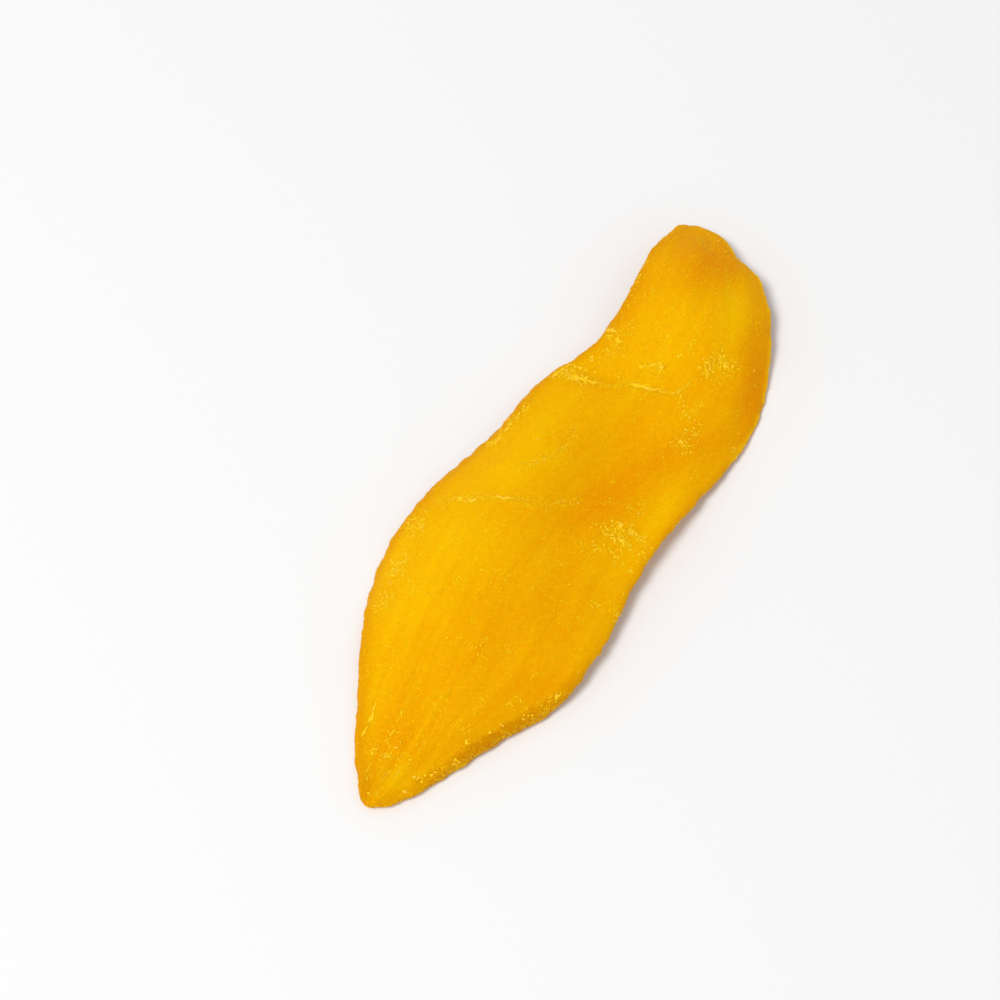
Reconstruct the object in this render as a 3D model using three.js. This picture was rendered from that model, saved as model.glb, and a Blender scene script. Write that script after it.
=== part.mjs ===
// A dried mango slice: one lengthwise cheek of the fruit, dried to a leathery, warped and wrinkled piece.
// Millimetres. +Y runs along the slice from its pointed tip to its blunt stem end, +X to its right as it is
// seen from above, and +Z up off the table. The origin is on the table, under the middle of its box.

import * as THREE from 'three';

// The outline as it is seen from above, as the few turning points of its two long edges. Both edges start at
// the tip and finish at the stem end.
const TIP = [-4.5, -52.7];
const STEM_END = [-1.2, 52.8];
const LEFT_EDGE = [
  [-6.7, -51.3], [-10.8, -44.2], [-16.6, -32.6], [-20.2, -22.4], [-20.8, -12.8], [-18.5, -2.6], [-14.7, 8.4],
  [-13.3, 16.2], [-11.6, 21.2], [-8.9, 25.2], [-7.1, 33.4], [-7.4, 42.4], [-6.5, 48.6], [-4.8, 51.6],
];
const RIGHT_EDGE = [
  [-1.4, -50.6], [3.8, -43.2], [8.2, -35.2], [13.2, -26.8], [15.0, -17.6], [14.8, -7.6], [16.0, 5.0],
  [18.3, 16.2], [19.6, 25.0], [17.9, 34.0], [15.0, 41.0], [12.1, 45.4], [8.2, 48.6], [4.8, 49.8], [2.3, 52.0],
];

// The cut edge isn't clean: it wanders in and out by this much, over about this length.
const EDGE_WANDER = 0.2;
const EDGE_WANDER_LENGTH = 4.5;

// The flesh: its thickness in the belly, along the upper lobe and at the tip, and the thin rim all round.
const BELLY_THICKNESS = 4.7;
const BELLY_FROM = -20;      // the belly reaches from here
const BELLY_TO = 0;          // to here, along the slice
const LOBE_THICKNESS = 3.7;
const LOBE_FROM = 26;
const TIP_THICKNESS = 3.0;
const RIM_THICKNESS = 1.7;
const RIM_ROUNDING = 0.95;   // radius of the rounded cut edge
const RIM_TAPER = 4.5;       // how far in from the edge the flesh nears its full thickness
const RIM_TAPER_POWER = 1.4; // how slowly it starts to thicken

// Where the cut left a thicker wall than the rim elsewhere, in the form of a swell below.
const THICK_CUT = { at: [11.0, -35.0], along: 17, across: 7, turn: 35, height: 1.5 };

// The warp that drying gives the whole slice. The long edges droop and flutter, and each swell raises a
// patch of the slice, or lowers it where its height is negative. along and across are its reach, and turn
// swings the long reach clockwise from +Y, in degrees.
const HALF_WIDTH = 18;
const EDGE_DROOP = 2.3;
const EDGE_FLUTTER = 1.3;
const FLUTTER_LENGTH = 11;
const SWELLS = {
  belly: { at: [-2.0, -16.0], along: 27, across: 26, turn: -4, height: 4.3 },
  upperLobe: { at: [2.0, 38.0], along: 12, across: 16, turn: 12, height: 3.9 },
  waistFold: { at: [-2.0, 22.5], along: 3.6, across: 15, turn: -23, height: -0.7 },
  trough: { at: [3.0, 8.0], along: 14, across: 4.6, turn: 12, height: -1.7 },
  rightLip: { at: [17.0, 7.0], along: 12, across: 5.0, turn: 6, height: 3.4 },
  lowerLip: { at: [15.5, -13.0], along: 11, across: 5.0, turn: 0, height: 1.7 },
  leftShoulder: { at: [-11.0, 8.0], along: 12, across: 5, turn: -14, height: 0.9 },
  stemFall: { at: [-3.0, 52.5], along: 5.5, across: 9, turn: 0, height: -1.6 },
  rightFall: { at: [19.5, 33.0], along: 9, across: 5.0, turn: -20, height: -1.9 },
  tipLift: { at: [-2.0, -53.0], along: 6, across: 8, turn: 20, height: 0.8 },
};

// Smaller dents and puckers, in the top of the slice only.
const DENTS = {
  lowerRight: { at: [5.7, -14.1], along: 5, across: 2.2, turn: -14, height: -0.45 },
  lowerMiddle: { at: [2.1, -22.8], along: 5, across: 2.4, turn: -14, height: -0.5 },
  lowerLeft: { at: [-10.6, -24.9], along: 4.5, across: 2.2, turn: -6, height: -0.4 },
  nearTip: { at: [-5.4, -34.0], along: 5, across: 2.0, turn: -14, height: -0.4 },
  neckDimple: { at: [-6.6, 26.6], along: 1.8, across: 2.6, turn: 0, height: -0.7 },
  neckPucker: { at: [-6.4, 29.8], along: 1.4, across: 2.8, turn: 10, height: 0.45 },
  waistPucker: { at: [-8.6, 19.0], along: 1.5, across: 4.2, turn: -23, height: 0.5 },
  waistCrack: { at: [0.6, 23.2], along: 1.2, across: 6.4, turn: -20, height: -0.45 },
};

// The fibres run from end to end as soft ridges, wide ones and finer ones between them.
const FIBRE_HEIGHT = 0.2;
const FIBRE_WIDTH = 4.2;
const FINE_FIBRE_HEIGHT = 0.09;
const FINE_FIBRE_WIDTH = 2.2;
const FIBRE_LENGTH = 17;

// How near the edge the fibres and the dents fade out.
const FIBRE_MARGIN = 3;
const DENT_MARGIN = 2;

// The slice leans until low spots near both ends and both sides bear it: the stem end lifts by the first
// angle and the left edge by the second, in degrees. SETTLE is how deep those spots have been pressed flat.
const STEM_LIFT = 2.0;
const LEFT_LIFT = 1.2;
const SETTLE = 0.45;

// The mesh: rings along the slice, points around each ring, and how far both bunch up towards the ends and
// the edges.
const RINGS = 90;
const RING_POINTS = 48;
const RING_BUNCHING = 0.78;
const POINT_BUNCHING = 0.85;
const SAMPLES_PER_TURNING_POINT = 24;

// One seed for each kind of unevenness.
const SEEDS = { cut: 11, leftFlutter: 3, rightFlutter: 8, topFibres: 5, undersideFibres: 41 };

// A repeatable value from -1 to 1 for each whole-number place.
function latticeValue(i, j, seed) {
  let h = Math.imul(i, 374761393) + Math.imul(j, 668265263) + Math.imul(seed, 974634777);
  h = Math.imul(h ^ (h >>> 13), 1274126177);
  return ((h ^ (h >>> 16)) >>> 0) / 2147483647.5 - 1;
}

// Smooth noise from -1 to 1 over a plane.
function smoothNoise(x, y, seed) {
  const i = Math.floor(x);
  const j = Math.floor(y);
  const fx = THREE.MathUtils.smoothstep(x - i, 0, 1);
  const fy = THREE.MathUtils.smoothstep(y - j, 0, 1);
  const low = THREE.MathUtils.lerp(latticeValue(i, j, seed), latticeValue(i + 1, j, seed), fx);
  const high = THREE.MathUtils.lerp(latticeValue(i, j + 1, seed), latticeValue(i + 1, j + 1, seed), fx);
  return THREE.MathUtils.lerp(low, high, fy);
}

// The whole outline as one closed smooth curve: up the right edge from the tip, and down the left one.
function outlineCurve() {
  const points = [TIP, ...RIGHT_EDGE, STEM_END, ...[...LEFT_EDGE].reverse()]
    .map(([x, y]) => new THREE.Vector3(x, y, 0));
  const curve = new THREE.CatmullRomCurve3(points, true);
  curve.arcLengthDivisions = points.length * SAMPLES_PER_TURNING_POINT;
  return curve;
}

// A point of the outline, moved out or in by the wander of the cut. The wander dies out at the tip.
function outlinePoint(curve, share) {
  const point = curve.getPointAt(share);
  const along = curve.getTangentAt(share);
  const fromTip = share * curve.getLength();
  const toTip = curve.getLength() - fromTip;
  const fade = Math.min(1, fromTip / EDGE_WANDER_LENGTH, toTip / EDGE_WANDER_LENGTH);
  const wander = fade * EDGE_WANDER * smoothNoise(fromTip / EDGE_WANDER_LENGTH, 0, SEEDS.cut);
  return point.add(new THREE.Vector3(along.y, -along.x, 0).multiplyScalar(wander));
}

// The height that a named swell or dent gives at a place.
function swellHeight(x, y, { at, along, across, turn, height }) {
  const angle = THREE.MathUtils.degToRad(turn);
  const dx = x - at[0];
  const dy = y - at[1];
  const lengthwise = dx * Math.sin(angle) + dy * Math.cos(angle);
  const sideways = dx * Math.cos(angle) - dy * Math.sin(angle);
  return height * Math.exp(-((lengthwise / along) ** 2) - (sideways / across) ** 2);
}

function sumOfSwells(x, y, swells) {
  return Object.values(swells).reduce((sum, swell) => sum + swellHeight(x, y, swell), 0);
}

// The middle of the flesh, halfway between top and underside. lateral is the distance to the right of the
// slice's centre line, as a share of its widest half width.
function middleHeight(x, y, lateral) {
  const seed = lateral < 0 ? SEEDS.leftFlutter : SEEDS.rightFlutter;
  const flutter = EDGE_FLUTTER * Math.abs(lateral) ** 3 * smoothNoise(y / FLUTTER_LENGTH, 0, seed);
  return sumOfSwells(x, y, SWELLS) - EDGE_DROOP * lateral ** 2 + flutter;
}

// The full thickness away from the edge: thin at the tip, thickest along the belly, thinner in the lobe.
function fullThickness(y) {
  const fromTip = THREE.MathUtils.smoothstep(y, TIP[1], BELLY_FROM);
  const toLobe = THREE.MathUtils.smoothstep(y, BELLY_TO, LOBE_FROM);
  return THREE.MathUtils.lerp(TIP_THICKNESS, BELLY_THICKNESS, fromTip)
    + (LOBE_THICKNESS - BELLY_THICKNESS) * toLobe;
}

// Thickness at a distance in from the edge: a rounded rim, then a slow rise to the full thickness.
function thickness(x, y, fromEdge) {
  const rounding = Math.sqrt(1 - (1 - Math.min(1, fromEdge / RIM_ROUNDING)) ** 2);
  const rise = 1 - Math.exp(-((fromEdge / RIM_TAPER) ** RIM_TAPER_POWER));
  const rim = RIM_THICKNESS + swellHeight(x, y, THICK_CUT);
  return rounding * THREE.MathUtils.lerp(rim, fullThickness(y), rise);
}

// Soft lengthwise ridges, which draw together where the slice narrows. across is -1 at the left edge and 1
// at the right one.
function fibreHeight(across, y, fromEdge, seed) {
  const fade = THREE.MathUtils.smoothstep(fromEdge, 0, FIBRE_MARGIN);
  const wide = smoothNoise((across * HALF_WIDTH) / FIBRE_WIDTH, y / FIBRE_LENGTH, seed);
  const fine = smoothNoise((across * HALF_WIDTH) / FINE_FIBRE_WIDTH, y / FIBRE_LENGTH, seed + 1);
  return fade * (FIBRE_HEIGHT * wide + FINE_FIBRE_HEIGHT * fine);
}

// The shortest distance from a place to the outline.
function distanceToOutline(x, y, outline) {
  let least = Infinity;
  for (let i = 0; i < outline.length; i++) {
    const a = outline[i];
    const b = outline[(i + 1) % outline.length];
    const ex = b.x - a.x;
    const ey = b.y - a.y;
    const share = THREE.MathUtils.clamp(((x - a.x) * ex + (y - a.y) * ey) / (ex * ex + ey * ey), 0, 1);
    least = Math.min(least, Math.hypot(x - a.x - share * ex, y - a.y - share * ey));
  }
  return least;
}

// Where ring i lies between the tip, 0, and the stem end, 1. The rings bunch up at both ends.
function ringShare(i) {
  const even = i / RINGS;
  return even - (RING_BUNCHING * Math.sin(2 * Math.PI * even)) / (2 * Math.PI);
}

// Where point k of a ring lies across the slice, -1 to 1, and on which face. The points bunch up at the
// edges.
function ringPlace(k) {
  const half = RING_POINTS / 2;
  const onTop = k <= half;
  const even = onTop ? k / half : (RING_POINTS - k) / half;
  const angle = (even - 0.5) * Math.PI;
  return { across: POINT_BUNCHING * Math.sin(angle) + (1 - POINT_BUNCHING) * (2 * even - 1), onTop };
}

// The height of the top or the underside over a place in the slice.
function surfaceHeight(place, across, halfWidth, fromEdge, onTop) {
  const { x, y } = place;
  const middle = middleHeight(x, y, (across * halfWidth) / HALF_WIDTH);
  const half = thickness(x, y, fromEdge) / 2;
  if (!onTop) return middle - half + fibreHeight(across, y, fromEdge, SEEDS.undersideFibres);
  const dents = THREE.MathUtils.smoothstep(fromEdge, 0, DENT_MARGIN) * sumOfSwells(x, y, DENTS);
  return middle + half + dents + fibreHeight(across, y, fromEdge, SEEDS.topFibres);
}

// All vertices: the tip, the rings from tip to stem end, and the stem end.
function sliceVertices() {
  const curve = outlineCurve();
  const stemSample = (RIGHT_EDGE.length + 1) * SAMPLES_PER_TURNING_POINT;
  const stemShare = curve.getLengths()[stemSample] / curve.getLength();
  const rightPoints = [];
  const leftPoints = [];
  for (let i = 0; i <= RINGS; i++) {
    rightPoints.push(outlinePoint(curve, stemShare * ringShare(i)));
    leftPoints.push(outlinePoint(curve, 1 - (1 - stemShare) * ringShare(i)));
  }
  const outline = [...rightPoints, ...leftPoints.slice(1, -1).reverse()];
  const endVertex = (point) => point.clone().setZ(middleHeight(point.x, point.y, 0));

  const vertices = [endVertex(rightPoints[0])];
  for (let i = 1; i < RINGS; i++) {
    const halfWidth = leftPoints[i].distanceTo(rightPoints[i]) / 2;
    for (let k = 0; k < RING_POINTS; k++) {
      const { across, onTop } = ringPlace(k);
      const place = leftPoints[i].clone().lerp(rightPoints[i], (across + 1) / 2);
      const onEdge = k === 0 || k === RING_POINTS / 2;
      const fromEdge = onEdge ? 0 : distanceToOutline(place.x, place.y, outline);
      place.z = surfaceHeight(place, across, halfWidth, fromEdge, onTop);
      vertices.push(place);
    }
  }
  vertices.push(endVertex(rightPoints[RINGS]));
  return vertices;
}

// Sets the slice down on the table: it leans over, and its lowest spots are pressed flat at height 0.
function settle(vertices) {
  const lean = new THREE.Euler(THREE.MathUtils.degToRad(STEM_LIFT), THREE.MathUtils.degToRad(LEFT_LIFT), 0);
  for (const v of vertices) v.applyEuler(lean);
  const lowest = Math.min(...vertices.map((v) => v.z));
  for (const v of vertices) v.z = Math.max(0, v.z - lowest - SETTLE);
}

// Triangles facing out: a fan at each end, and strips between the rings.
function sliceTriangles() {
  const triangles = [];
  const at = (ring, k) => 1 + (ring - 1) * RING_POINTS + (k % RING_POINTS);
  const last = 1 + (RINGS - 1) * RING_POINTS;
  for (let k = 0; k < RING_POINTS; k++) {
    triangles.push(0, at(1, k + 1), at(1, k));
    for (let ring = 1; ring < RINGS - 1; ring++) {
      triangles.push(at(ring, k), at(ring, k + 1), at(ring + 1, k + 1));
      triangles.push(at(ring, k), at(ring + 1, k + 1), at(ring + 1, k));
    }
    triangles.push(last, at(RINGS - 1, k), at(RINGS - 1, k + 1));
  }
  return triangles;
}

// The whole slice as one closed body, centred over the origin.
function sliceGeometry() {
  const vertices = sliceVertices();
  settle(vertices);
  const geometry = new THREE.BufferGeometry().setFromPoints(vertices);
  geometry.setIndex(sliceTriangles());
  geometry.computeBoundingBox();
  const centre = geometry.boundingBox.getCenter(new THREE.Vector3());
  geometry.translate(-centre.x, -centre.y, 0);
  geometry.computeVertexNormals();
  return geometry;
}

const driedMango = new THREE.MeshStandardMaterial({ color: 0xf2ac04, roughness: 0.55, metalness: 0 });

const slice = new THREE.Mesh(sliceGeometry(), driedMango);
slice.name = 'mango_slice';

const group = new THREE.Group();
group.add(slice);

export default group;
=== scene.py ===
# A dried mango slice lying flat: satin flesh, pale cracks, dried threads and grains of sugar
import math

import bmesh
import bpy
import numpy as np
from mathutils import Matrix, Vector
from mathutils.bvhtree import BVHTree


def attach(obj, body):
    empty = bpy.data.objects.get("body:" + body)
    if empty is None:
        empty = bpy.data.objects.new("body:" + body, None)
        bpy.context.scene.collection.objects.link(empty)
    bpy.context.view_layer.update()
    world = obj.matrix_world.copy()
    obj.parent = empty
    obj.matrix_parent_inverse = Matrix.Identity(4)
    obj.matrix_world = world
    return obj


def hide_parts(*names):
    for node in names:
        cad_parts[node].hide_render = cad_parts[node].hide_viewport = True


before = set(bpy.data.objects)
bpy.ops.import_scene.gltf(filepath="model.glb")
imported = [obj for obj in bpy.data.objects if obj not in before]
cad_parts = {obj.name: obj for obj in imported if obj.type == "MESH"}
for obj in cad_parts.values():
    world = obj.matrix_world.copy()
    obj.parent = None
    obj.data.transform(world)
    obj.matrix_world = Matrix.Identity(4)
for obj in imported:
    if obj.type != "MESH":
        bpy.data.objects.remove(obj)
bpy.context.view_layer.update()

# Sizes here are in millimetres, and MM turns them into Blender's metres
MM = 0.001

# The fine mesh of the flesh: spacing of its points, welding, joining angle in radians, and smoothing
POINT_SPACING = 0.28
WELD_DISTANCE = 0.002
JOIN_ANGLE = 3.0
CALM_SHARE = 0.5
CALM_ROUNDS = 3

# Its plan, and how far the fibres draw together where it is narrow
PLAN_STATIONS = 240
PLAN_MARGIN = 0.2
PLAN_REACH = 0.3
FARTHEST_ACROSS = 1.2
BELLY_HALF_WIDTH = 18.0
CONVERGENCE = 0.45

# Lengthwise fibres: width, length, depth through the flesh, and height
BROAD_FIBRE = dict(across=2.2, along=18.0, deep=6.0, height=0.08, seed=21)
FINE_FIBRE = dict(across=0.8, along=6.0, deep=6.0, height=0.03, seed=22)
TIP_WRINKLE = dict(across=1.4, along=10.0, deep=6.0, height=0.18, seed=23)
UNDERSIDE_FIBRE = dict(across=1.8, along=16.0, deep=6.0, height=0.07, seed=24)

# Lumps, pits and the frayed edge
SOFT_LUMP = dict(size=4.0, height=0.07, seed=27)
PIT = dict(size=0.9, height=0.014, seed=25)
PITS_OFF_THE_WALL = 0.4
WALL_GRAIN = dict(size=0.7, height=0.05, seed=26)
WALL_GRAIN_STRETCH = [1, 1, 1.6]
RAGGED_EDGE = dict(size=2.4, height=0.22, seed=28)
FRAYED_EDGE = dict(size=0.8, height=0.09, seed=29)
FRAY_OUTWARD = 0.08
FRAY_REACH = 1.3

# How far up the top faces where it begins and is full, and where the tip's wrinkles fade out
FACING = (0.1, 0.6)
WRINKLED_TIP = (-44, -34)

# The thin lip of dried skin on the rim of the stem end and the right shoulder
RIM_WIDTH = 0.5
RIM_HEIGHT = 0.12
RIM_BREAK = dict(size=1.8, height=1.0, seed=56)
RIM_GAPS = (-0.6, 0.3)

# How that rim is found, by turns in degrees round the lobe's centre
LOBE_CENTRE = (4.0, 31.0)
LOBE_START = 10
RIM_TURNS = (-38, 118)
RIM_STEP = 0.7
HEIGHT_AS_REACH = 0.4
RIM_CALM_ROUNDS = 8

# A crack's lips, by its depth and half width, its ends, and how its line wanders
LIP_HEIGHT = 0.6
LIP_DISTANCE = 2.2
CRACK_ENDS = 0.04
WANDER_ACROSS = dict(size=1.3, height=0.35, seed=31)
WANDER_ALONG = dict(size=1.3, height=0.35, seed=32)

# Cracks: the line that each follows over the top, its depth and its half width
CRACKS = {
    "waist_left": ([(-10.1, 20.4), (-7.8, 20.1), (-5.9, 20.4), (-4.0, 20.7)], 0.09, 0.4),
    "waist_right": ([(-2.2, 21.2), (0.7, 22.8), (3.1, 23.4), (5.7, 24.0), (7.5, 24.4), (8.8, 26.9)],
                    0.07, 0.35),
    "waist_arc": ([(0.9, 25.7), (2.2, 26.3), (3.0, 27.1), (3.8, 26.9), (4.1, 25.9)], 0.05, 0.35),
    "neck_curl": ([(-7.0, 28.9), (-5.6, 28.9), (-4.4, 28.4), (-3.7, 27.4)], 0.10, 0.45),
    "arc_crack": ([(-15.9, -7.2), (-14.2, -6.3), (-12.7, -5.9), (-11.2, -5.4), (-10.0, -4.1),
                   (-8.0, -3.7), (-6.0, -2.9), (-2.1, -2.0), (0.2, 0.1), (2.5, 2.0)], 0.05, 0.3),
    "left_streak": ([(-6.8, 2.3), (-5.5, 4.6), (-4.2, 6.3), (-2.9, 9.4), (-3.2, 12.7)], 0.04, 0.5),
}

# Pale dried threads: their line, how many, how far off it, length, bend and relative width
THREADS = [
    ([(-11.0, 19.8), (-9.4, 20.3), (-7.8, 20.1)], 26, 0.45, 1.2, 0.45, 1.9),
    ([(-8.6, 20.3), (-7.0, 20.2), (-5.6, 20.5)], 18, 0.3, 1.3, 0.4, 1.8),
    ([(-10.2, 21.8), (-8.6, 21.6), (-7.2, 21.9)], 22, 0.6, 1.0, 0.6, 1.7),
    ([(-7.0, 20.3), (-4.6, 20.6), (-3.2, 20.9)], 12, 0.1, 1.5, 0.2, 1.7),
    ([(-2.7, 20.9), (-1.2, 21.2)], 6, 0.3, 0.5, 0.6, 1.0),
    ([(0.9, 22.9), (1.9, 23.1), (3.3, 23.5)], 16, 0.1, 1.5, 0.12, 2.9),
    ([(3.1, 23.4), (4.3, 23.7), (5.7, 24.0)], 16, 0.2, 0.9, 0.4, 1.5),
    ([(5.7, 23.9), (7.5, 24.4), (8.1, 25.6), (8.8, 26.9)], 13, 0.05, 1.2, 0.2, 1.1),
    ([(0.9, 25.7), (1.8, 26.1), (2.4, 26.7)], 9, 0.12, 1.0, 0.3, 2.3),
    ([(2.4, 26.8), (3.1, 27.2), (3.8, 26.8), (4.0, 26.0)], 12, 0.14, 0.8, 0.4, 1.9),
    ([(1.4, 25.6), (3.0, 26.6), (4.4, 25.4)], 12, 0.4, 0.6, 0.6, 1.0),
    ([(-5.2, 25.1), (-4.5, 26.1), (-3.3, 26.4), (-1.8, 26.2)], 14, 0.15, 0.7, 0.5, 1.0),
    ([(12.5, 0.9), (13.9, 0.3), (15.0, -0.5)], 10, 0.2, 0.7, 0.3, 1.1),
    ([(-7.0, 28.9), (-6.3, 29.2), (-5.4, 29.3)], 11, 0.14, 1.2, 0.3, 2.4),
    ([(-6.2, 28.3), (-5.0, 28.5), (-4.2, 28.0), (-3.7, 27.4)], 15, 0.16, 1.0, 0.4, 2.0),
    ([(-16.2, -7.4), (-14.4, -6.4)], 6, 0.15, 0.8, 0.4, 1.1),
    ([(-14.4, -6.4), (-12.7, -5.9), (-11.2, -5.4)], 24, 0.22, 0.9, 0.45, 2.3),
    ([(-11.2, -5.4), (-10.0, -4.2), (-8.9, -4.0)], 12, 0.1, 1.0, 0.3, 1.4),
    ([(-8.9, -4.0), (-7.6, -3.6), (-6.0, -2.9)], 14, 0.08, 1.1, 0.25, 1.8),
    ([(-5.0, -2.8), (-2.1, -2.0), (0.2, 0.1), (2.5, 2.0)], 18, 0.35, 0.7, 0.45, 1.1),
    ([(-6.8, 2.3), (-5.5, 4.6), (-4.2, 6.3), (-2.9, 9.4), (-3.2, 12.7)], 22, 0.3, 0.8, 0.35, 1.0),
    ([(-11.8, 12.7), (-12.5, 10.0), (-12.9, 6.0), (-14.0, 3.8)], 40, 0.4, 1.1, 0.4, 1.7),
    ([(-9.7, -39.5), (-9.3, -41.3)], 8, 0.06, 1.4, 0.08, 1.2),
    ([(-9.3, -41.0), (-9.2, -42.6), (-9.3, -44.2)], 13, 0.07, 1.4, 0.08, 1.7),
    ([(-5.7, -38.8), (-5.5, -40.3), (-5.4, -41.7), (-5.4, -44.0)], 11, 0.08, 1.2, 0.15, 1.0),
    ([(-6.1, -47.0), (-6.0, -48.5), (-5.3, -49.6)], 9, 0.1, 0.9, 0.2, 1.0),
    ([(-4.5, -51.3), (-3.7, -50.8), (-3.0, -49.8)], 12, 0.3, 0.8, 0.1, 1.0),
    ([(-2.9, -45.9), (-3.3, -47.4), (-3.7, -48.9)], 9, 0.1, 1.0, 0.2, 1.0),
    ([(-1.6, -45.0), (-1.8, -46.2), (-2.1, -47.4)], 7, 0.1, 0.9, 0.2, 1.0),
    ([(-0.8, -32.9), (-0.5, -35.3), (-0.5, -37.2)], 7, 0.15, 1.0, 0.25, 1.2),
    ([(11.2, -12.0), (13.0, -11.3)], 6, 0.1, 0.8, 0.3, 1.4),
    ([(18.4, 20.2), (19.3, 21.6)], 8, 0.2, 0.6, 0.4, 1.3),
    ([(-6.2, 40.2), (-6.1, 37.6)], 9, 0.2, 0.6, 0.3, 1.5),
    ([(10.8, 16.4), (11.9, 17.7), (13.2, 19.0)], 18, 0.5, 0.6, 0.5, 1.3),
    ([(-4.7, 50.4), (-6.0, 45.0), (-6.4, 39.0), (-6.6, 33.0)], 40, 0.25, 0.8, 0.35, 1.0),
]

# Patches of short crossing threads and sugar: centre, half length and half width, turn in degrees,
# how many threads and how much sugar
PATCHES = [
    ((10.9, 31.2), (2.6, 1.7), 35, 0, 0.5),
    ((11.3, 32.3), (1.4, 1.0), 0, 20, 0.3),
    ((11.9, 31.4), (1.0, 0.7), 0, 9, 0.2),
    ((9.8, 30.0), (1.7, 1.0), 35, 15, 0.2),
    ((10.2, 28.8), (1.8, 0.9), 20, 12, 0.2),
    ((13.2, 32.6), (1.0, 1.2), 0, 6, 0.1),
    ((-4.6, 26.6), (1.6, 1.1), 10, 10, 0.3),
    ((10.6, -0.6), (3.6, 1.7), -8, 16, 0.5),
    ((9.6, 0.8), (1.6, 1.0), 0, 22, 0.2),
    ((11.6, 1.0), (1.5, 0.9), 10, 18, 0.2),
    ((13.2, 0.6), (1.0, 0.8), 0, 10, 0.2),
    ((9.4, -1.3), (1.7, 0.8), 0, 18, 0.2),
    ((11.2, -0.9), (1.4, 0.8), 0, 16, 0.2),
    ((7.4, -0.7), (1.8, 1.0), 0, 12, 0.2),
    ((7.4, -3.9), (2.4, 1.3), 20, 14, 0.2),
    ((11.4, -3.2), (2.6, 1.3), 0, 12, 0.2),
    ((14.6, -1.0), (0.9, 1.8), 10, 9, 0.4),
    ((10.3, 4.6), (1.8, 0.8), 20, 6, 0.2),
    ((9.8, 22.6), (2.2, 1.0), -40, 14, 0.2),
    ((12.6, 20.6), (1.0, 1.6), -20, 10, 0.2),
    ((-17.6, -12.6), (1.6, 2.4), -15, 50, 0.6),
    ((-16.8, -19.2), (1.7, 2.8), 0, 72, 0.7),
    ((-16.2, -24.4), (1.4, 2.2), 0, 34, 0.6),
    ((-7.4, 21.2), (4.2, 2.0), 0, 16, 0.3),
    ((12.0, 17.6), (2.6, 2.2), 40, 16, 0.5),
    ((-3.8, -44.8), (2.6, 1.0), 20, 12, 0.35),
    ((-6.6, -45.4), (2.2, 0.9), 15, 10, 0.25),
    ((5.2, -41.6), (4.5, 1.4), 42, 0, 0.8),
    ((12.9, -27.0), (3.2, 1.3), 62, 8, 0.55),
]

# Short threads that lie here and there over the whole top, in loose drifts
LOOSE_THREADS = 1000

# Knots of pale crumbs: where they lie, how many and how far they spread
CRUMBS = [
    ((1.6, 23.1), 8, 0.25),
    ((1.4, 26.0), 4, 0.15),
    ((3.8, 26.8), 3, 0.15),
    ((5.3, 29.5), 3, 0.2),
    ((-6.7, 24.3), 4, 0.12),
    ((-7.3, 22.0), 4, 0.2),
    ((-7.8, 20.3), 4, 0.3),
    ((-10.6, 19.2), 4, 0.2),
    ((11.2, 32.4), 6, 0.2),
    ((12.0, 31.6), 7, 0.2),
    ((13.3, 31.9), 3, 0.12),
    ((9.8, 30.2), 5, 0.25),
    ((11.5, 17.7), 6, 0.15),
    ((9.7, 1.1), 8, 0.25),
    ((11.6, 1.0), 6, 0.2),
    ((11.0, -1.0), 8, 0.25),
    ((9.9, -1.4), 4, 0.3),
    ((11.2, -3.6), 3, 0.12),
    ((14.0, -4.7), 3, 0.12),
    ((15.4, -11.2), 4, 0.15),
    ((-6.8, -3.2), 3, 0.12),
    ((-5.0, 5.2), 3, 0.12),
    ((13.2, -26.1), 6, 0.25),
    ((10.4, -30.8), 6, 0.5),
    ((8.4, -34.2), 6, 0.5),
    ((4.7, -38.1), 4, 0.2),
    ((4.8, -41.4), 9, 0.3),
    ((-9.2, -41.4), 3, 0.12),
    ((2.4, -44.0), 4, 0.3),
    ((1.3, -45.8), 6, 0.35),
    ((0.0, -48.3), 3, 0.2),
]
LONE_CRUMBS = 10

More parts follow.
